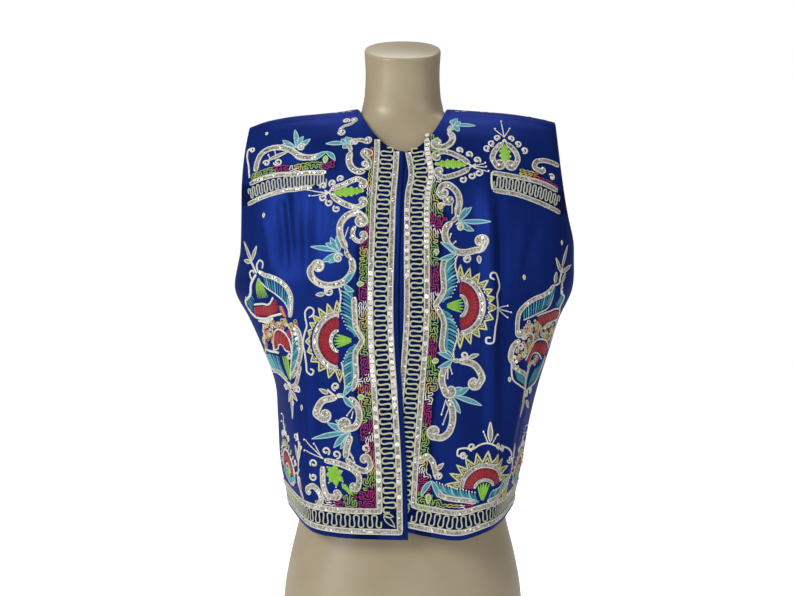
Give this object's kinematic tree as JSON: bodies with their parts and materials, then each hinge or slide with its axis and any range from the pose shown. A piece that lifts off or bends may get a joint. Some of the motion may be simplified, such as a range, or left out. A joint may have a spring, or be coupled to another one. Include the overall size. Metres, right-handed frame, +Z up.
{
  "type": "embroidered vest on a dress form",
  "caption": "Hip-length satin vest with a round neck, overlapping front, silver braid borders and raised scrollwork, worn hollow over a smooth limbless dress form with a flat base.",
  "frame": {"origin": "middle of the dress form's flat base, which stands on z = 0", "axes": "+Z up; the wearer's front faces -Y, so the wearer's left side is towards +X"},
  "size_m": [0.4893, 0.2509, 0.8648],
  "materials": {
    "satin": "satin weave with a soft sheen",
    "silver_braid": "metallic braid with sequins",
    "form_skin": "smooth semi-matt"
  },
  "bodies": {
    "root": {"arch_drop_inner_left": "silver_braid", "arch_drop_outer_left": "silver_braid", "back": "satin", "chest_band_lower_left": "silver_braid", "chest_band_lower_right": "silver_braid", "chest_band_upper_left": "silver_braid", "chest_band_upper_right": "silver_braid", "dress_form": "form_skin", "drop_lower_left": "silver_braid", "drop_lower_right": "silver_braid", "drop_upper_left": "silver_braid", "drop_upper_right": "silver_braid", "front_left": "satin", "front_right": "satin", "hem_band_lower_back": "silver_braid", "hem_band_upper_back": "silver_braid", "hem_sun_arc_left": "silver_braid", "hem_sun_base_left": "silver_braid", "hem_sun_heart_left": "silver_braid", "hook_left": "silver_braid", "hook_right": "silver_braid", "inner_band_left": "silver_braid", "inner_band_right": "silver_braid", "leaf_frame_inner_right": "silver_braid", "leaf_frame_outer_right": "silver_braid", "lower_hook_left": "silver_braid", "lower_hook_right": "silver_braid", "lower_scroll_left": "silver_braid", "lower_scroll_right": "silver_braid", "neck_scroll_left": "silver_braid", "neck_scroll_right": "silver_braid", "outer_band_left": "silver_braid", "outer_band_right": "silver_braid", "scroll_left": "silver_braid", "scroll_right": "silver_braid", "side_foot_right": "silver_braid", "side_frame_lower_left": "silver_braid", "side_frame_lower_right": "silver_braid", "side_frame_upper_left": "silver_braid", "side_frame_upper_right": "silver_braid", "side_stem_left": "silver_braid", "stem_left": "silver_braid", "stem_right": "silver_braid", "sun_arc_left": "silver_braid", "sun_arc_right": "silver_braid", "sun_frame_left": "silver_braid", "sun_frame_right": "silver_braid", "sun_heart_left": "silver_braid", "sun_heart_right": "silver_braid"}
  },
  "joints": []
}
